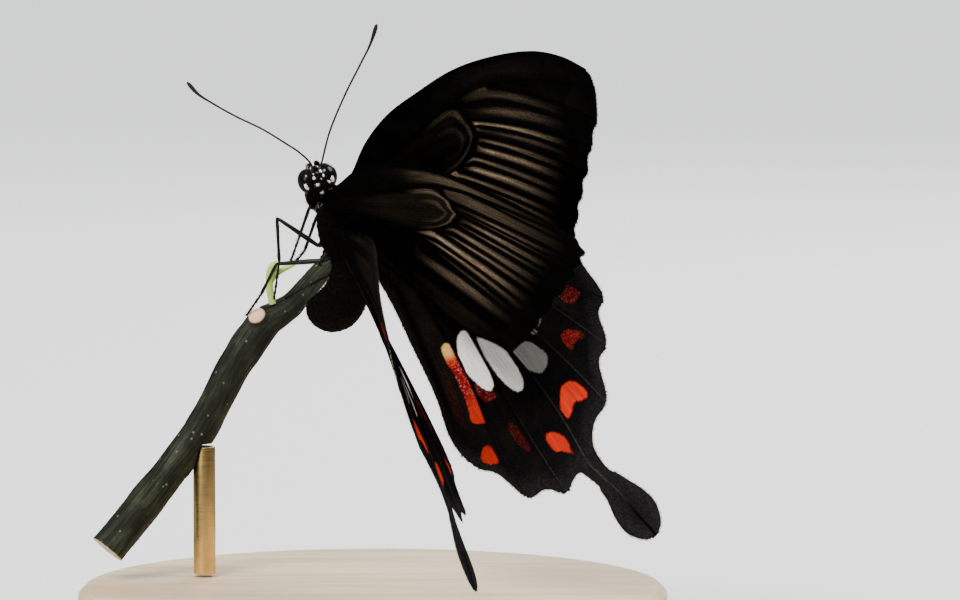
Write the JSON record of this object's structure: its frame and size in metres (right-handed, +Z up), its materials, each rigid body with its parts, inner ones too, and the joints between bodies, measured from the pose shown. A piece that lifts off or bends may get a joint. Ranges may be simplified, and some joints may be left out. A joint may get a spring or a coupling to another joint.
{
  "type": "swallowtail butterfly",
  "caption": "Life-size female swallowtail with raised dark tailed wings, gripping a cut twig with its abdomen curled under, held over a round wooden base by a short rod.",
  "frame": {"origin": "centre of the underside of the round base", "axes": "+Z up; the camera side is -Y; the butterfly's head leans towards -X and its wings reach towards +X and -Y"},
  "size_m": [0.066, 0.0772, 0.0691],
  "materials": {
    "body_scales": "velvety black scales and short hair with white dots on the head and collar",
    "eyes": "glossy near-black compound eyes",
    "feelers": "smooth dark brown to black",
    "legs": "smooth black-brown with a slight sheen",
    "wings": "velvety black-brown scales, white patches and red spots on the hindwings",
    "bark": "grey-green bark with darker streaks",
    "leaf": "soft young green",
    "rod_metal": "satin brass",
    "base_wood": "satin light maple"
  },
  "bodies": {
    "root": {"head": "body_scales", "thorax": "body_scales", "abdomen": "body_scales", "eye_left": "eyes", "eye_right": "eyes", "palp_left": "body_scales", "palp_right": "body_scales", "proboscis": "feelers", "antenna_left": "feelers", "antenna_right": "feelers", "foreleg_left": "legs", "foreleg_right": "legs", "midleg_left": "legs", "midleg_right": "legs", "hindleg_left": "legs", "hindleg_right": "legs", "forewing_left": "wings", "forewing_right": "wings", "hindwing_left": "wings", "hindwing_right": "wings", "perch_twig": "bark", "perch_shoot": "leaf", "stand_rod": "rod_metal", "stand_base": "base_wood"}
  },
  "joints": []
}
